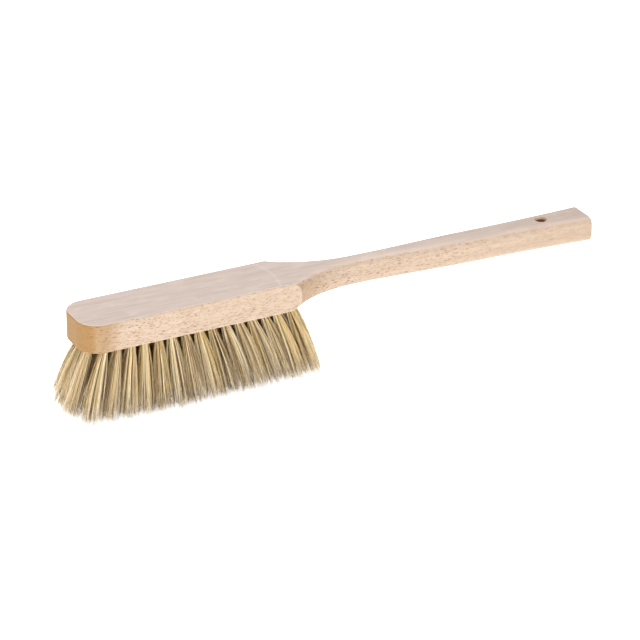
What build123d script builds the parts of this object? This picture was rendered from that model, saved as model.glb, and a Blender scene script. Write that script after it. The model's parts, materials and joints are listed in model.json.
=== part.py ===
"""Bee brush: a one-piece beech back with four rows of stapled natural-bristle tufts.

While it is modelled, X runs along the brush from the front of the block to the end of the handle,
Y across it and Z up, with the block's flat top at Z = 0. The finished pieces are then moved so that
the origin is the middle of the brush's footprint and Z = 0 is the lowest bristle tip.
"""
import os
from math import radians, sin, sqrt

from build123d import *

# Wooden back: block, shoulders and handle
OVERALL_LENGTH = 450.0
BLOCK_WIDTH = 50.0
BLOCK_THICKNESS = 23.5
FRONT_CORNER_RADIUS = 17.5
ARRIS_RADIUS = 1.4  # softened edges of the planed block

SHOULDER_X = 181.8  # where the shoulders leave the block's sides
SHOULDER_ANGLE = 38.0  # plan angle between shoulder and side there
FLARE_START_X = 157.0  # the shoulder's hidden start inside the block
STATIONS = 24  # even steps of the loft from there to the butt
NECK_X = 241.0
NECK_WIDTH = 18.0
GRIP_X = 349.0
GRIP_WIDTH = 25.4
BUTT_WIDTH = 31.5
TOP_BREAK_X = 170.0  # where the planed top gives way to the sanded shoulder
NECK_TOP = -0.5
BUTT_TOP = -4.3
SCOOP_X = 204.0  # highest point of the underside behind the block
SCOOP_BOTTOM = -22.0
BUTT_BOTTOM = -25.5
EDGE_ROUND = 8.0  # round-over of shoulder and handle
BUTT_EDGE_ROUND = 6.6
BUTT_SOFTENING = 1.5

HANG_HOLE_DIAMETER = 7.2
HANG_HOLE_FROM_END = 39.8
HANG_HOLE_CHAMFER = 1.5

# Tufts and the blind holes that hold them
PITCH = 11.13  # along a row
OUTER_COUNT = 15
INNER_COUNT = 16
OUTER_FIRST_X = 18.0
INNER_FIRST_X = OUTER_FIRST_X - PITCH / 2
INNER_LAST_X = INNER_FIRST_X + PITCH * (INNER_COUNT - 1)
OUTER_Y = 17.5
INNER_Y = 5.8
HOLE_DIAMETER = 5.6
HOLE_DEPTH = 14.5
ROOT_DIAMETER = 5.4
ROOT_ROUND = 1.2
NECK_OF_TUFT = 1.5  # straight stretch below the hole's mouth
TIP_DIAMETER = 10.4
TIP_DOME = 1.2
FREE_LENGTH = 57.0  # bristle that shows below the block

# Fan of the tufts, in degrees from upright
UPRIGHT_X = 66.0  # the tuft that stands straight
FRONT_LEAN = 20.0
REAR_LEAN = 16.5
REAR_LEAN_POWER = 2.5  # over 1: most of the lean is reached soon behind the upright tuft
OUTER_SPLAY = 8.5
INNER_SPLAY = 2.8

# Wire staple across the fold of each tuft
WIRE_DIAMETER = 0.8
STAPLE_SPAN = 3.0
STAPLE_CORNER = 0.9
CROWN_BELOW_HOLE_END = 2.4
LEG_BITE = 4.0  # leg length driven into the wood

CLEAR_WIDTH = 2 * BLOCK_WIDTH  # of the boxes that bound block and handle: wider and taller than both
CLEAR_HEIGHT = 4 * BLOCK_THICKNESS


def handle_width(x):
    """Width: concave shoulders down to the neck, swelling to the grip, widest at the butt."""
    if x < NECK_X:
        run = NECK_X - SHOULDER_X
        radius = run / sin(radians(SHOULDER_ANGLE))
        full_rise = radius - sqrt(radius**2 - run**2)
        rise = radius - sqrt(radius**2 - (NECK_X - x) ** 2)
        return NECK_WIDTH + (BLOCK_WIDTH - NECK_WIDTH) * rise / full_rise
    if x < GRIP_X:
        share = (x - NECK_X) / (GRIP_X - NECK_X)
        return NECK_WIDTH + (GRIP_WIDTH - NECK_WIDTH) * share**2 * (3 - 2 * share)
    share = (x - GRIP_X) / (OVERALL_LENGTH - GRIP_X)
    return GRIP_WIDTH + (BUTT_WIDTH - GRIP_WIDTH) * share**2


def handle_top(x):
    """Height of the handle's top: a short dip behind the block, then a slow fall to the end."""
    if x < NECK_X:
        return NECK_TOP * (1 - ((NECK_X - x) / (NECK_X - TOP_BREAK_X)) ** 2)
    return NECK_TOP + (BUTT_TOP - NECK_TOP) * (x - NECK_X) / (OVERALL_LENGTH - NECK_X)


def handle_bottom(x):
    """Height of the underside: scooped up behind the block, then falling with the handle."""
    if x < SCOOP_X:
        depth = BLOCK_THICKNESS + SCOOP_BOTTOM
        return SCOOP_BOTTOM - depth * ((SCOOP_X - x) / (SCOOP_X - TOP_BREAK_X)) ** 2
    return SCOOP_BOTTOM + (BUTT_BOTTOM - SCOOP_BOTTOM) * (x - SCOOP_X) / (OVERALL_LENGTH - SCOOP_X)


def edge_round(x):
    """Corner radius of the handle's section, a little tighter at the butt."""
    share = max(0, (x - GRIP_X) / (OVERALL_LENGTH - GRIP_X))
    return EDGE_ROUND + (BUTT_EDGE_ROUND - EDGE_ROUND) * share


def lean_along(x):
    """Lean of a tuft along the brush: negative towards the front, positive towards the handle."""
    if x < UPRIGHT_X:
        return -FRONT_LEAN * (UPRIGHT_X - x) / (UPRIGHT_X - INNER_FIRST_X)
    share = (x - UPRIGHT_X) / (INNER_LAST_X - UPRIGHT_X)
    return REAR_LEAN * (1 - (1 - share) ** REAR_LEAN_POWER)


def tuft_location(x, y, splay):
    """Place of a tuft: origin at the hole's mouth, local +Z into the wood along the hole."""
    side = 1 if y > 0 else -1
    down_x = sin(radians(lean_along(x)))
    down_y = side * sin(radians(splay))
    up_z = sqrt(1 - down_x**2 - down_y**2)
    mouth_z = handle_bottom(x) if x > TOP_BREAK_X else -BLOCK_THICKNESS
    return Plane(origin=(x, y, mouth_z), x_dir=(1, 0, 0), z_dir=(-down_x, -down_y, up_z)).location


def row_locations(first_x, count, y, splay):
    return [tuft_location(first_x + PITCH * n, y, splay) for n in range(count)]


ROWS = {
    "left_outer": row_locations(OUTER_FIRST_X, OUTER_COUNT, OUTER_Y, OUTER_SPLAY),
    "left_inner": row_locations(INNER_FIRST_X, INNER_COUNT, INNER_Y, INNER_SPLAY),
    "right_inner": row_locations(INNER_FIRST_X, INNER_COUNT, -INNER_Y, INNER_SPLAY),
    "right_outer": row_locations(OUTER_FIRST_X, OUTER_COUNT, -OUTER_Y, OUTER_SPLAY),
}


def make_staple():
    """One U-shaped wire staple: the crown holds the fold down, the legs point into the wood."""
    half = STAPLE_SPAN / 2
    crown = HOLE_DEPTH - CROWN_BELOW_HOLE_END
    tip = HOLE_DEPTH + LEG_BITE
    with BuildPart() as staple:
        with BuildLine(Plane.XZ) as wire:
            FilletPolyline((-half, tip), (-half, crown), (half, crown), (half, tip), radius=STAPLE_CORNER)
        with BuildSketch(Plane(origin=wire.line @ 0, z_dir=wire.line % 0)):
            Circle(WIRE_DIAMETER / 2)
        sweep()
    return staple.part


def make_tuft(staple):
    """One tuft: folded root for the blind hole, then bristles that spread towards a domed tip."""
    root = ROOT_DIAMETER / 2
    tip = TIP_DIAMETER / 2
    with BuildPart() as tuft:
        with BuildSketch(Plane.XZ):
            with BuildLine():
                Polyline(
                    (0, -FREE_LENGTH),
                    (0, HOLE_DEPTH),
                    (root, HOLE_DEPTH),
                    (root, -NECK_OF_TUFT),
                    (tip, TIP_DOME - FREE_LENGTH),
                )
                TangentArc((0, -FREE_LENGTH), (tip, TIP_DOME - FREE_LENGTH), tangent=(1, 0))
            make_face()
        revolve(axis=Axis.Z)
        fillet(tuft.edges().filter_by(GeomType.CIRCLE).sort_by(Axis.Z)[-1], ROOT_ROUND)
        add(staple, mode=Mode.SUBTRACT)
    return tuft.part


def make_hole_tool(staple):
    """What one tuft takes out of the wood: its blind hole and the staple's two leg holes."""
    with BuildPart() as tool:
        with BuildSketch(Plane.XY.offset(-HOLE_DIAMETER)):
            Circle(HOLE_DIAMETER / 2)
        extrude(amount=HOLE_DIAMETER + HOLE_DEPTH)
        add(staple)
    return tool.part


def make_limits():
    """Outer limits of the back: the planed block in front, free room for the handle behind."""
    with BuildPart() as limits:
        with BuildSketch():
            plan = Rectangle(SCOOP_X, BLOCK_WIDTH, align=(Align.MIN, Align.CENTER))
            fillet(plan.vertices().group_by(Axis.X)[0], FRONT_CORNER_RADIUS)
        extrude(amount=-BLOCK_THICKNESS)
        rims = limits.edges().group_by(Axis.Z)
        rear = limits.faces().sort_by(Axis.X)[-1].edges()
        fillet((rims[0] + rims[-1]) - rear, ARRIS_RADIUS)
        with Locations(((SHOULDER_X + SCOOP_X) / 2, 0, 0)):
            Box(
                OVERALL_LENGTH,
                CLEAR_WIDTH,
                CLEAR_HEIGHT,
                align=(Align.MIN, Align.CENTER, Align.CENTER),
            )
    return limits.part


def make_back(limits, hole_tool):
    """Block, shoulders and handle in one piece of wood, drilled for the tufts."""
    with BuildPart() as back:
        for number in range(STATIONS + 1):
            x = FLARE_START_X + (OVERALL_LENGTH - FLARE_START_X) * number / STATIONS
            top = handle_top(x)
            bottom = handle_bottom(x)
            middle = Plane(origin=(x, 0, (top + bottom) / 2), x_dir=(0, 1, 0), z_dir=(1, 0, 0))
            with BuildSketch(middle):
                RectangleRounded(handle_width(x), top - bottom, edge_round(x))
        loft()
        fillet(back.faces().sort_by(Axis.X)[-1].edges(), BUTT_SOFTENING)
        with Locations((-BLOCK_WIDTH, 0, 0)):
            Box(
                BLOCK_WIDTH + (FLARE_START_X + TOP_BREAK_X) / 2,
                CLEAR_WIDTH,
                CLEAR_HEIGHT,
                align=(Align.MIN, Align.CENTER, Align.CENTER),
            )
        add(limits, mode=Mode.INTERSECT)
        with Locations(*[place for row in ROWS.values() for place in row]):
            add(hole_tool, mode=Mode.SUBTRACT)
        hole_x = OVERALL_LENGTH - HANG_HOLE_FROM_END
        hole_radius = HANG_HOLE_DIAMETER / 2
        with Locations(
            Location((hole_x, 0, handle_top(hole_x))),
            Location((hole_x, 0, handle_bottom(hole_x)), (180, 0, 0)),
        ):
            CounterSinkHole(hole_radius, hole_radius + HANG_HOLE_CHAMFER, counter_sink_angle=90)
    return back.part


def place_copies(shape, places):
    """Separate copies of one small piece, all in one node."""
    with BuildPart() as group:
        with Locations(*places):
            add(shape)
    return group.part


def export_pieces(pieces):
    """Move all pieces to the shared origin and write one STEP for each."""
    box = Compound(list(pieces.values())).bounding_box()
    to_origin = Location((-box.center().X, 0, -box.min.Z))
    os.makedirs("parts", exist_ok=True)
    for name, piece in pieces.items():
        piece.label = name
        piece.locate(to_origin * piece.location)
        export_step(piece, f"parts/{name}.step")
    print("origin moved by", to_origin.position, "size", box.size)


staple = make_staple()
tuft = make_tuft(staple)
pieces = {"wooden_back": make_back(make_limits(), make_hole_tool(staple))}
for row in ("outer", "inner"):
    pairs = zip(ROWS[f"left_{row}"], ROWS[f"right_{row}"])
    for number, places in enumerate(pairs, start=1):
        pieces[f"{row}_tuft_pair_{number:02d}"] = place_copies(tuft, places)
for row, places in ROWS.items():
    pieces[f"{row}_staples"] = place_copies(staple, places)
export_pieces(pieces)
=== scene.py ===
import json
from math import cos, radians, sin

import bpy
import numpy as np
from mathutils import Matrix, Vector


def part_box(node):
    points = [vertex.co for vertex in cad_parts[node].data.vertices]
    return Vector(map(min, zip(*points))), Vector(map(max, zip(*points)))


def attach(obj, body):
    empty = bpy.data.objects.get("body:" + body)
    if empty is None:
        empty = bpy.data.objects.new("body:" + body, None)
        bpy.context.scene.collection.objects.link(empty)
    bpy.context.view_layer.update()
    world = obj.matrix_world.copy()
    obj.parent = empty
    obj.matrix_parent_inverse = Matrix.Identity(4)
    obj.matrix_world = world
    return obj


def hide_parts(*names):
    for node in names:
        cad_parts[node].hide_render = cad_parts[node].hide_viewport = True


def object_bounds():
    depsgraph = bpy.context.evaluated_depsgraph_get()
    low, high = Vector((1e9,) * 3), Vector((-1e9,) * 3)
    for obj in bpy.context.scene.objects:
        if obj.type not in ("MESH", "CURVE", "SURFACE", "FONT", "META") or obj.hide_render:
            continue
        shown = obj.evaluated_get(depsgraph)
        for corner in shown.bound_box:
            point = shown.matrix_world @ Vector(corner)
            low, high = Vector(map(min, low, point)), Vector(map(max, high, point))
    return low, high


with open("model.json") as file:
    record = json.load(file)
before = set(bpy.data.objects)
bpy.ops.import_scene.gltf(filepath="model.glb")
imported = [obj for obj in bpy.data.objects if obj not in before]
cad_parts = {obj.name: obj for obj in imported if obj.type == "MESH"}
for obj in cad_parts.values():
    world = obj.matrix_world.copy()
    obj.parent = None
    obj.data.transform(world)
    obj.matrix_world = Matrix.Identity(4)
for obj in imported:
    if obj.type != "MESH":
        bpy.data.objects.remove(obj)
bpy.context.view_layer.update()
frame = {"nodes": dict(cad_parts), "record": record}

BACK_LOW, BACK_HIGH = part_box("wooden_back")
HANG_HOLE = next(mount for mount in frame["record"]["mounts"] if mount["name"] == "hang_hole")

# Camera
AZIMUTH = radians(-27.551)
ELEVATION = radians(25.5)
DISTANCE = 2.6
LENS = 186.5
CLIP_END = 50.0
AIM_FROM_FRONT = 0.2103  # aimed near the middle of the brush's length, below the block
AIM_BELOW_TOP = 0.04896

# Studio: lamps as (place, diameter, power, colour)
LIGHTS = {
    "key": ((0.2, -2.0, 0.36), 0.9, 13, (1.0, 0.98, 0.94)),
    "top": ((-0.3, 0.2, 2.2), 1.4, 17, (0.97, 0.98, 1.0)),
    "fill": ((-1.8, -0.7, 0.25), 0.9, 15, (1.0, 0.98, 0.95)),
}
WORLD_STRENGTH = 0.80
FLOOR_HALF_SIDE = 6.0
FLOOR_WHITE = (0.93, 0.93, 0.93, 1)
FLOOR_ROUGHNESS = 0.9
FLOOR_GLOW = 0.9  # a lightbox floor, so that the contact shadow stays faint

# Bristles, in metres
HOLE_DEPTH = 0.0145
START_IN_HOLE = 0.0025  # a strand begins this far inside its hole
ROOT_RADIUS = 0.0027
TIP_RADIUS = 0.0088
OUTWARD_BOW = 0.0030  # at mid-length, times the tuft's lean
LOCK_WAVE = 0.0007  # sideways at mid-length
STRAND_WAVE = 0.0004
STRAND_RADIUS = 0.00016

# Bristles, in shares of the tuft's radius at the root or the tips
LOCK_AT_ROOT = 0.86  # the rest of a strand's place in the hole is its own
LOCK_SPREAD = (0.95, 0.12)  # mean and deviation, for a lock at the tips
STRAND_SPREAD = (0.05, 0.03)  # mean and deviation, for a strand about its lock
TIP_SCATTER = 0.03
STRAY_SCATTER = 0.22

# Bristles, in shares of the tuft's free length
LOCK_LENGTH = (0.975, 0.020)  # mean and deviation
STRAND_LENGTH_DEVIATION = 0.034
LONGEST = 1.05

LOCKS_PER_TUFT = 100
STRANDS_PER_LOCK = 4
STRAY_SHARE = 0.10  # of the strands
SPREAD_POWER = 0.65  # under 1: a tuft opens quickest just below its hole
WIDTH_DEVIATION = 0.15
WIDTH_LIMITS = (0.6, 1.4)
TIP_TAPER = 0.30
RINGS = 6
SIDES = 3
SEED = 11
STRANDS = LOCKS_PER_TUFT * STRANDS_PER_LOCK
LOCK_OF = np.repeat(np.arange(LOCKS_PER_TUFT), STRANDS_PER_LOCK)  # lock number of each strand
RING_SHARES = np.linspace(0, 1, RINGS)

# Tones of the hair as (share of the locks, colour near the root, along the strand, at the tip)
TONES = {
    "straw": (0.24, (0.80, 0.60, 0.31), (0.82, 0.63, 0.34), (0.76, 0.61, 0.38)),
    "cream": (0.27, (0.94, 0.78, 0.50), (0.97, 0.84, 0.58), (0.90, 0.79, 0.58)),
    "golden": (0.11, (0.68, 0.49, 0.18), (0.70, 0.52, 0.21), (0.66, 0.50, 0.26)),
    "olive": (0.10, (0.48, 0.34, 0.15), (0.52, 0.38, 0.18), (0.50, 0.38, 0.22)),
    "brown": (0.24, (0.22, 0.115, 0.045), (0.17, 0.09, 0.038), (0.18, 0.105, 0.055)),
    "grey": (0.04, (0.46, 0.35, 0.25), (0.56, 0.45, 0.33), (0.58, 0.50, 0.40)),
}
DARK_TONES = ("olive", "brown", "grey")
PALER_ENDS = (0.0, 0.055, 0.125, 0.175)  # from the front: dark hair is rarer outside the middle two, so the ends are paler: partly the hair's own mix, partly painted light
DARK_SHARE = (0.20, 1.0, 1.0, 0.50)
ODD_SHARE = 0.15  # of the strands: they draw a tone of their own, whatever their lock's
ZONES = ("root", "length", "tip")
ROOT_ZONE_END = 0.25  # shares of a strand's length, give or take, where its tone changes
TIP_ZONE_START = 0.78
ZONE_DEVIATION = 0.12
HAIR_GRAIN = 900  # of the uneven gloss, per metre
HAIR_ROUGHNESS = 0.5
HAIR_ROUGHNESS_RANGE = 0.24
HAIR_SPECULAR = 0.35

# Colours of the wood
CREAM = (0.535, 0.415, 0.315, 1)
PINK = (0.465, 0.355, 0.268, 1)
# darker brown of the grain's streaks, also used as painted shade towards the handle's end
STREAK_AND_SHADE = (0.35, 0.245, 0.165, 1)
FLECK = (0.15, 0.06, 0.022, 1)
# golden end grain; at the front end its darkness is also painted shade
GOLD_AND_SHADE = (0.29, 0.15, 0.034, 1)
GOLD_DEEP_AND_SHADE = (0.235, 0.115, 0.02, 1)
TOP_GREY = (0.585, 0.48, 0.42, 1)
TOP_DARK = (0.505, 0.405, 0.35, 1)
# paler tone of the top's clouds, also the colour of the painted highlight line
TOP_PALE_AND_HIGHLIGHT = (0.67, 0.56, 0.50, 1)
HOLE_SHADE_BROWN = (0.26, 0.12, 0.05, 1)

# Patterns in the wood as (stretch along X, Y and Z, offset, values between which noise comes in
# or a fleck fades out)
BANDS = ((5, 55, 90), (0, 0, 0), (0.35, 0.68))
FIBRES = ((60, 1500, 1900), (0, 0, 0), (0.42, 0.75))
MOTTLE = ((150, 500, 620), (4, 4, 4), (0.42, 0.72))
LARGE_RAYS = ((150, 45, 740), (0, 0, 0), (0.20, 0.27))
SMALL_RAYS = ((270, 80, 1200), (3, 5, 7), (0.20, 0.34))
RAY_PATCHES = ((14, 20, 60), (9, 1, 4), (0.30, 0.55))
GRAIN_LINES = ((24, 620, 60), (2, 2, 2), (0.40, 0.70))
CLOUDS = ((60, 110, 60), (6, 2, 8), (0.45, 0.75))
PORES = ((1500, 1500, 1500), (5, 5, 5), (0.35, 0.70))

# Strengths of those patterns, 1 where none is given
FIBRE_STRENGTH = 0.35
MOTTLE_STRENGTH = 0.40
LARGE_RAY_STRENGTH = 0.85
SMALL_RAY_STRENGTH = 0.50
CLOUD_STRENGTH = 0.50

# Where each finish of the wood lies, and its painted shade and highlight
UPWARD_NORMAL = (0.62, 0.90)  # Z of the normal over which a side becomes a top
FRONT_NORMAL = (-0.70, 0.0)  # X of the normal over which golden end grain, darkened at the front as painted shade, fades out
REAR_NORMAL = (0.12, 0.65)  # and comes in again at the rear
FRONT_STRENGTH = 0.88
REAR_STRENGTH = 0.52
FRONT_GRAIN_AND_SHADE = (0.013, 0.034)  # distances from the front over which the darker golden sides, painted shade and end grain, fade
FRONT_GRAIN_AND_SHADE_STRENGTH = 0.62
SHOULDER_LINE_X = 0.1635  # from the front: where the shoulder's sanding meets the planed top; a painted highlight runs along this crease
SHOULDER_LINE_BULGE = 0.0045
HIGHLIGHT_LINE_WIDTH = 0.0024
HIGHLIGHT_LINE_STRENGTH = 0.42
HANDLE_SHADE = 0.20  # painted shade: the handle darkens by this much towards its end
HANDLE_RAYS = 0.30  # share of the ray flecks left there
HOLE_EDGE = (1.02, 1.12)  # in radii of the hang hole, over which its painted shade, a brown wall, fades
HOLE_STRENGTH = 0.92

# Surface of the wood
WOOD_SPECULAR = 0.30
WOOD_ROUGHNESS = (0.52, 0.72)
STEEL = (0.56, 0.56, 0.55, 1)
STEEL_SCRATCHES = (3000, 3000, 300)
STEEL_ROUGHNESS = (0.28, 0.46)
GLOSS_RANGE = (0.3, 0.7)  # noise values between which the roughness of wood or steel changes
BUMP_STRENGTH = 0.35
BUMP_DISTANCE = 0.00025
RAY_DEPTH = 0.6  # against the fibres' own relief

MIX_FACTOR, MIX_A, MIX_B, MIX_RESULT = 0, 6, 7, 2  # sockets of a Mix node set to colours


class Graph:
    """Short hand for wiring shader nodes of one material."""

    def __init__(self, name):
        self.material = bpy.data.materials.new(name)
        self.material.use_nodes = True
        self.nodes = self.material.node_tree.nodes
        self.links = self.material.node_tree.links
        self.shader = self.nodes["Principled BSDF"]
        self.place = self.nodes.new("ShaderNodeTexCoord")

    def feed(self, socket, value):
        """Link a socket to another, or set it to a plain value."""
        if isinstance(value, bpy.types.NodeSocket):
            self.links.new(value, socket)
        else:
            socket.default_value = value

    def split(self, output):
        """X, Y and Z of the place on the object, or of the normal there."""
        node = self.nodes.new("ShaderNodeSeparateXYZ")
        self.feed(node.inputs[0], self.place.outputs[output])
        return node.outputs

    def stretched(self, scale, offset=(0, 0, 0)):
        node = self.nodes.new("ShaderNodeMapping")
        self.feed(node.inputs["Vector"], self.place.outputs["Object"])
        node.inputs["Scale"].default_value = scale
        node.inputs["Location"].default_value = offset
        return node.outputs["Vector"]

    def noise(self, vector, detail=2.0, roughness=0.5, distortion=0.0):
        node = self.nodes.new("ShaderNodeTexNoise")
        self.feed(node.inputs["Vector"], vector)
        node.inputs["Scale"].default_value = 1.0
        node.inputs["Detail"].default_value = detail
        node.inputs["Roughness"].default_value = roughness
        node.inputs["Distortion"].default_value = distortion
        return node.outputs["Fac"]

    def cells(self, vector):
        node = self.nodes.new("ShaderNodeTexVoronoi")
        self.feed(node.inputs["Vector"], vector)
        node.inputs["Scale"].default_value = 1.0
        return node.outputs["Distance"]

    def ramp(self, value, low, high, to_low=0.0, to_high=1.0):
        node = self.nodes.new("ShaderNodeMapRange")
        node.interpolation_type = "SMOOTHSTEP"
        self.feed(node.inputs["Value"], value)
        node.inputs["From Min"].default_value = low
        node.inputs["From Max"].default_value = high
        node.inputs["To Min"].default_value = to_low
        node.inputs["To Max"].default_value = to_high
        return node.outputs["Result"]

    def pattern(self, pattern, strength=1.0, **noise):
        """Noise in the shape of a named pattern, from 0 to its strength."""
        stretch, offset, (low, high) = pattern
        return self.ramp(self.noise(self.stretched(stretch, offset), **noise), low, high, 0.0, strength)

    def flecks(self, pattern, strength):
        """Small separate marks in the shape of a named pattern, from its strength down to 0."""
        stretch, offset, (low, high) = pattern
        return self.ramp(self.cells(self.stretched(stretch, offset)), low, high, strength, 0.0)

    def math(self, operation, one, two=0.0):
        node = self.nodes.new("ShaderNodeMath")
        node.operation = operation
        self.feed(node.inputs[0], one)
        self.feed(node.inputs[1], two)
        return node.outputs["Value"]

    def mix(self, share, one, two):
        """Colour one, with a share of colour two over it."""
        node = self.nodes.new("ShaderNodeMix")
        node.data_type = "RGBA"
        self.feed(node.inputs[MIX_FACTOR], share)
        self.feed(node.inputs[MIX_A], one)
        self.feed(node.inputs[MIX_B], two)
        return node.outputs[MIX_RESULT]


def hair_material(name, colour):
    """Satin hair of one tone, with a fine uneven gloss along the strand."""
    g = Graph(name)
    g.shader.inputs["Base Color"].default_value = (*colour, 1)
    g.shader.inputs["Specular IOR Level"].default_value = HAIR_SPECULAR
    mottle = g.noise(g.stretched((HAIR_GRAIN, HAIR_GRAIN, HAIR_GRAIN)))
    uneven = g.math("MULTIPLY", mottle, HAIR_ROUGHNESS_RANGE)
    smoothest = HAIR_ROUGHNESS - HAIR_ROUGHNESS_RANGE / 2
    g.feed(g.shader.inputs["Roughness"], g.math("ADD", uneven, smoothest))
    return g.material


def make_palette():
    """Materials of the hair in the order of tone and zone."""
    return [
        hair_material(f"bristle_{tone}_{zone}", TONES[tone][1 + number])
        for tone in TONES
        for number, zone in enumerate(ZONES)
    ]


def tuft_axis(points):
    """Mouth of the hole, direction down the tuft and free length, from the CAD tuft's own points."""
    centre = points.mean(axis=0)
    axis = np.linalg.svd(points - centre, full_matrices=False)[2][0]
    axis = -axis if axis[2] > 0 else axis
    reach = (points - centre) @ axis
    mouth = centre + axis * (reach.min() + HOLE_DEPTH)
    return mouth, axis, reach.max() - reach.min() - HOLE_DEPTH


def disc(rng, count):
    """Points spread evenly over a unit disc."""
    radius = np.sqrt(rng.random(count))
    angle = rng.random(count) * 2 * np.pi
    return np.stack([radius * np.cos(angle), radius * np.sin(angle)], axis=1)


def strand_places(rng):
    """Place of each strand across its tuft, at the root and at the tip, in shares of the radius."""
    lock = disc(rng, LOCKS_PER_TUFT)[LOCK_OF]
    own = disc(rng, STRANDS)
    root = lock * LOCK_AT_ROOT + own * (1 - LOCK_AT_ROOT)
    tip = lock * rng.normal(*LOCK_SPREAD, (LOCKS_PER_TUFT, 1))[LOCK_OF]
    tip += own * rng.normal(*STRAND_SPREAD, (STRANDS, 1))
    tip += rng.normal(0, TIP_SCATTER, (STRANDS, 2))
    stray = rng.random(STRANDS) < STRAY_SHARE
    tip[stray] += rng.normal(0, STRAY_SCATTER, (stray.sum(), 2))
    return root, tip


def strand_lines(rng, mouth, axis, length):
    """Centre lines of one tuft's strands, as (strand, ring, xyz)."""
    root, tip = strand_places(rng)
    wave = rng.normal(0, LOCK_WAVE, (LOCKS_PER_TUFT, 2))[LOCK_OF]
    wave += rng.normal(0, STRAND_WAVE, (STRANDS, 2))
    reach = rng.normal(*LOCK_LENGTH, LOCKS_PER_TUFT)[LOCK_OF]
    reach += rng.normal(0, STRAND_LENGTH_DEVIATION, STRANDS)
    reach = length * np.minimum(reach, LONGEST)
    across = np.cross(axis, (0, 1, 0))
    across /= np.linalg.norm(across)
    other = np.cross(axis, across)
    down = -START_IN_HOLE + (reach[:, None] + START_IN_HOLE) * RING_SHARES
    gone = np.clip(down / length, 0, None)[..., None]
    opened = gone**SPREAD_POWER
    flat = root[:, None] * ROOT_RADIUS * (1 - opened) + tip[:, None] * TIP_RADIUS * opened
    flat += wave[:, None] * np.sin(np.pi * gone)
    bow = OUTWARD_BOW * np.array((axis[0], axis[1], 0)) * np.sin(np.pi * gone.clip(0, 1))
    return mouth + down[..., None] * axis + flat[..., :1] * across + flat[..., 1:] * other + bow


def strand_slots(rng, mouth):
    """Material slot of every step of one tuft's strands, by tone and then by zone."""
    # fewer dark strands near the ends: partly the hair's own mix, partly painted light
    dark = np.interp(mouth[0] - BACK_LOW.x, PALER_ENDS, DARK_SHARE)
    shares = np.array([TONES[tone][0] * (dark if tone in DARK_TONES else 1) for tone in TONES])
    shares /= shares.sum()
    tone = rng.choice(len(TONES), LOCKS_PER_TUFT, p=shares)[LOCK_OF]
    odd = rng.random(STRANDS) < ODD_SHARE
    tone[odd] = rng.choice(len(TONES), odd.sum(), p=shares)
    middle = (RING_SHARES[:-1] + RING_SHARES[1:]) / 2
    shift = rng.normal(0, ZONE_DEVIATION, (STRANDS, 1))
    zone = (middle > ROOT_ZONE_END + shift).astype(int) + (middle > TIP_ZONE_START + shift)
    return tone[:, None] * len(ZONES) + zone


def strand_mesh(lines, slots, widths):
    """Vertices, faces and material slots of tapered three-sided strands."""
    count = len(lines)
    radius = STRAND_RADIUS * widths[:, None] * (1 - (1 - TIP_TAPER) * RING_SHARES**2)
    angle = np.arange(SIDES) * 2 * np.pi / SIDES
    circle = np.stack([np.cos(angle), np.sin(angle), np.zeros(SIDES)], axis=1)
    vertices = lines[:, :, None, :] + radius[:, :, None, None] * circle
    index = np.arange(count * RINGS * SIDES).reshape(count, RINGS, SIDES)
    turned = np.roll(index, -1, axis=2)
    quads = np.stack([index[:, :-1], index[:, 1:], turned[:, 1:], turned[:, :-1]], axis=-1)
    quad_slots = np.broadcast_to(slots[:, :, None], quads.shape[:3])
    ends = np.concatenate([index[:, 0, ::-1], index[:, -1]])
    faces = quads.reshape(-1, 4).tolist() + ends.tolist()
    return vertices.reshape(-1, 3), faces, np.concatenate([quad_slots.ravel(), slots[:, 0], slots[:, -1]])


def make_tufts(node, palette, rng):
    """Both tufts of one CAD pair as separate strands, in place of the plain solids."""
    solid = frame["nodes"][node].data
    points = np.empty(len(solid.vertices) * 3)
    solid.vertices.foreach_get("co", points)
    points = points.reshape(-1, 3)
    lines, slots, widths = [], [], []
    for side in (points[:, 1] > 0, points[:, 1] < 0):
        mouth, axis, length = tuft_axis(points[side])
        lines.append(strand_lines(rng, mouth, axis, length))
        slots.append(strand_slots(rng, mouth))
        widths.append(rng.normal(1, WIDTH_DEVIATION, STRANDS).clip(*WIDTH_LIMITS))
    made = strand_mesh(np.concatenate(lines), np.concatenate(slots), np.concatenate(widths))
    vertices, faces, face_slots = made
    mesh = bpy.data.meshes.new(node + "_strands")
    mesh.from_pydata(vertices.tolist(), [], faces)
    for material in palette:
        mesh.materials.append(material)
    mesh.polygons.foreach_set("material_index", face_slots)
    mesh.polygons.foreach_set("use_smooth", np.ones(len(mesh.polygons), bool))
    tufts = bpy.data.objects.new(node + "_strands", mesh)
    bpy.context.scene.collection.objects.link(tufts)
    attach(tufts, "root")
    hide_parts(node)


def side_colour(g, fibres):
    """Pale bands, mottle and fibres of the sawn sides."""
    colour = g.mix(g.pattern(BANDS, detail=3, distortion=0.4), CREAM, PINK)
    colour = g.mix(g.pattern(MOTTLE, MOTTLE_STRENGTH), colour, STREAK_AND_SHADE)
    return g.mix(g.ramp(fibres, *FIBRES[2], 0.0, FIBRE_STRENGTH), colour, STREAK_AND_SHADE)


def highlight_line(g, place):
    """Strength of the painted highlight, a pale curved line across the top, where sanded shoulder meets
    planed block.
    """
    share = g.math("DIVIDE", place["Y"], BACK_HIGH.y)
    bulge = g.math("MULTIPLY", g.math("MULTIPLY", share, share), SHOULDER_LINE_BULGE)
    arc = g.math("ADD", place["X"], bulge)
    middle = BACK_LOW.x + SHOULDER_LINE_X + SHOULDER_LINE_BULGE
    away = g.math("ABSOLUTE", g.math("SUBTRACT", arc, middle))
    return g.ramp(away, 0.0, HIGHLIGHT_LINE_WIDTH, HIGHLIGHT_LINE_STRENGTH, 0.0)


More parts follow.
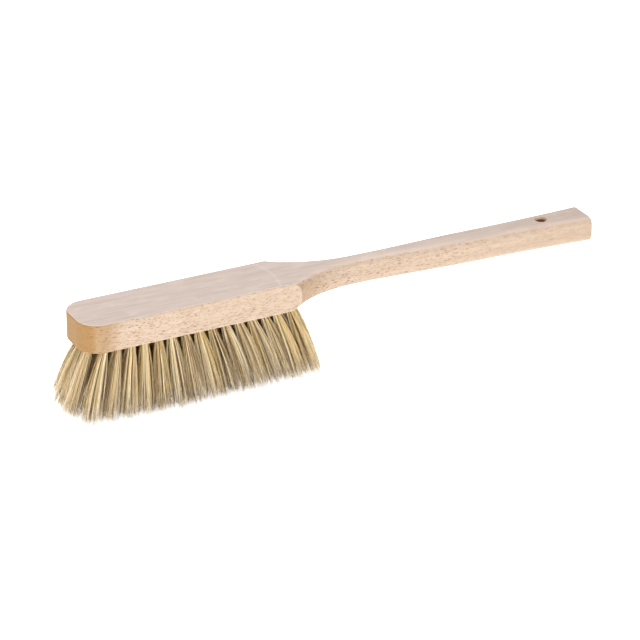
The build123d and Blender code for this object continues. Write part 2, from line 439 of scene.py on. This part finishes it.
def top_colour(g, place):
    """Greyer planed top, with fine grain lines, clouds and the painted highlight line."""
    colour = g.mix(g.pattern(GRAIN_LINES, detail=3, roughness=0.6), TOP_GREY, TOP_DARK)
    colour = g.mix(g.pattern(CLOUDS, CLOUD_STRENGTH, detail=4, roughness=0.6), colour, TOP_PALE_AND_HIGHLIGHT)
    # painted highlight along the crease where the shoulder meets the top
    return g.mix(highlight_line(g, place), colour, TOP_PALE_AND_HIGHLIGHT)


def end_grain_and_shade(g, place, normal):
    """Strength of the golden end grain and painted shade: front face and its rounded corners (end grain
    darkened as painted shade), the sides near the front (painted shade and end grain), and less at the
    rear (end grain).
    """
    front = g.ramp(normal["X"], *FRONT_NORMAL, FRONT_STRENGTH, 0.0)
    rear = g.ramp(normal["X"], *REAR_NORMAL, 0.0, REAR_STRENGTH)
    # painted shade, with some end grain, on the sides near the front
    front_fade_start, front_fade_end = (BACK_LOW.x + distance for distance in FRONT_GRAIN_AND_SHADE)
    near_front = g.ramp(place["X"], front_fade_start, front_fade_end, FRONT_GRAIN_AND_SHADE_STRENGTH, 0.0)
    strongest = g.math("MAXIMUM", g.math("MAXIMUM", front, rear), near_front)
    return g.math("MULTIPLY", strongest, g.ramp(normal["Z"], *UPWARD_NORMAL, 1.0, 0.0))


def hole_shade(g):
    """Strength of the painted shade in the hang hole, a brown wall, the same at any height."""
    away = g.nodes.new("ShaderNodeVectorMath")
    away.operation = "DISTANCE"
    g.feed(away.inputs[0], g.stretched((1, 1, 0)))
    away.inputs[1].default_value = (*HANG_HOLE["pos_m"][:2], 0)
    radius = HANG_HOLE["dims"]["r_mm"] / 1000
    edge_start, edge_end = (radius * share for share in HOLE_EDGE)
    return g.ramp(away.outputs["Value"], edge_start, edge_end, HOLE_STRENGTH, 0.0)


def wood_material():
    """Raw beech: fine fibres along X, short dark ray flecks on the sides, golden end grain; painted shade
    at the front end, towards the handle's end and in the hang hole, and a painted highlight line across
    the top.
    """
    g = Graph("raw_beech")
    place = g.split("Object")
    normal = g.split("Normal")
    fibres = g.noise(g.stretched(*FIBRES[:2]), detail=4, roughness=0.65)
    upward = g.ramp(normal["Z"], *UPWARD_NORMAL)
    towards_end = g.ramp(place["X"], BACK_LOW.x + SHOULDER_LINE_X, BACK_HIGH.x)

    colour = g.mix(upward, side_colour(g, fibres), top_colour(g, place))
    # painted shade: darker towards the handle's end
    colour = g.mix(g.math("MULTIPLY", towards_end, HANDLE_SHADE), colour, STREAK_AND_SHADE)
    sideward = g.ramp(upward, 0.0, 1.0, 1.0, 0.0)
    flecked = g.math("MULTIPLY", sideward, g.ramp(towards_end, 0.0, 1.0, 1.0, HANDLE_RAYS))
    small = g.math("MULTIPLY", g.flecks(SMALL_RAYS, SMALL_RAY_STRENGTH), flecked)
    large = g.math("MULTIPLY", g.flecks(LARGE_RAYS, LARGE_RAY_STRENGTH), g.pattern(RAY_PATCHES))
    large = g.math("MULTIPLY", large, flecked)
    colour = g.mix(small, colour, FLECK)
    colour = g.mix(large, colour, FLECK)
    # golden end grain, darkened at the front end as painted shade
    golden = g.mix(g.pattern(PORES), GOLD_AND_SHADE, GOLD_DEEP_AND_SHADE)
    colour = g.mix(end_grain_and_shade(g, place, normal), colour, golden)
    # painted shade: the hang hole's wall in dark brown
    colour = g.mix(hole_shade(g), colour, HOLE_SHADE_BROWN)
    g.feed(g.shader.inputs["Base Color"], colour)

    g.feed(g.shader.inputs["Roughness"], g.ramp(fibres, *GLOSS_RANGE, *WOOD_ROUGHNESS))
    g.shader.inputs["Specular IOR Level"].default_value = WOOD_SPECULAR
    bump = g.nodes.new("ShaderNodeBump")
    bump.inputs["Strength"].default_value = BUMP_STRENGTH
    bump.inputs["Distance"].default_value = BUMP_DISTANCE
    g.feed(bump.inputs["Height"], g.math("SUBTRACT", fibres, g.math("MULTIPLY", large, RAY_DEPTH)))
    g.feed(g.shader.inputs["Normal"], bump.outputs["Normal"])
    return g.material


def wire_material():
    """Drawn steel wire with fine lengthwise scratches."""
    g = Graph("staple_steel")
    g.shader.inputs["Base Color"].default_value = STEEL
    g.shader.inputs["Metallic"].default_value = 1.0
    scratches = g.noise(g.stretched(STEEL_SCRATCHES))
    g.feed(g.shader.inputs["Roughness"], g.ramp(scratches, *GLOSS_RANGE, *STEEL_ROUGHNESS))
    return g.material


def floor_material():
    """Matt white that glows softly."""
    g = Graph("studio_floor")
    g.shader.inputs["Base Color"].default_value = FLOOR_WHITE
    g.shader.inputs["Roughness"].default_value = FLOOR_ROUGHNESS
    g.shader.inputs["Emission Color"].default_value = (1, 1, 1, 1)
    g.shader.inputs["Emission Strength"].default_value = FLOOR_GLOW
    return g.material


def paint(node, material):
    """Give a CAD node its finish."""
    mesh = frame["nodes"][node].data
    mesh.materials.clear()
    mesh.materials.append(material)


def make_camera():
    camera = bpy.data.objects.new("camera", bpy.data.cameras.new("camera"))
    bpy.context.scene.collection.objects.link(camera)
    camera.data.lens = LENS
    aim = Vector((BACK_LOW.x + AIM_FROM_FRONT, 0, BACK_HIGH.z - AIM_BELOW_TOP))
    level = cos(ELEVATION)
    forward = Vector((-sin(AZIMUTH) * level, cos(AZIMUTH) * level, -sin(ELEVATION)))
    camera.location = aim - DISTANCE * forward
    camera.rotation_mode = "QUATERNION"
    camera.rotation_quaternion = forward.to_track_quat("-Z", "Y")
    camera.data.clip_end = CLIP_END
    bpy.context.scene.camera = camera


def make_light(name, place, size, power, colour):
    """A large soft lamp that faces the brush."""
    lamp = bpy.data.lights.new(name, "AREA")
    lamp.shape = "DISK"
    lamp.size = size
    lamp.energy = power
    lamp.color = colour
    light = bpy.data.objects.new(name, lamp)
    light.location = place
    light.rotation_mode = "QUATERNION"
    light.rotation_quaternion = (-Vector(place)).to_track_quat("-Z", "Y")
    bpy.context.scene.collection.objects.link(light)


def make_floor(height):
    half = FLOOR_HALF_SIDE
    mesh = bpy.data.meshes.new("floor")
    corners = [(-half, -half, 0), (half, -half, 0), (half, half, 0), (-half, half, 0)]
    mesh.from_pydata(corners, [], [(0, 1, 2, 3)])
    mesh.materials.append(floor_material())
    floor = bpy.data.objects.new("floor", mesh)
    floor.location.z = height
    bpy.context.scene.collection.objects.link(floor)


def make_studio(height):
    """White surroundings, soft lamps, and a pale floor under the bristle tips."""
    world = bpy.data.worlds.new("studio")
    world.use_nodes = True
    world.node_tree.nodes["Background"].inputs["Color"].default_value = (1, 1, 1, 1)
    world.node_tree.nodes["Background"].inputs["Strength"].default_value = WORLD_STRENGTH
    bpy.context.scene.world = world
    for name, (place, size, power, colour) in LIGHTS.items():
        make_light(name, place, size, power, colour)
    make_floor(height)


make_camera()
bpy.context.scene.view_settings.view_transform = "Standard"

paint("wooden_back", wood_material())
steel = wire_material()
palette = make_palette()
rng = np.random.default_rng(SEED)
for node in sorted(frame["nodes"]):
    if "staples" in node:
        paint(node, steel)
    elif "tuft" in node:
        make_tufts(node, palette, rng)

VISUAL_BOX = [list(corner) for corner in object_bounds()]
make_studio(VISUAL_BOX[0][2])
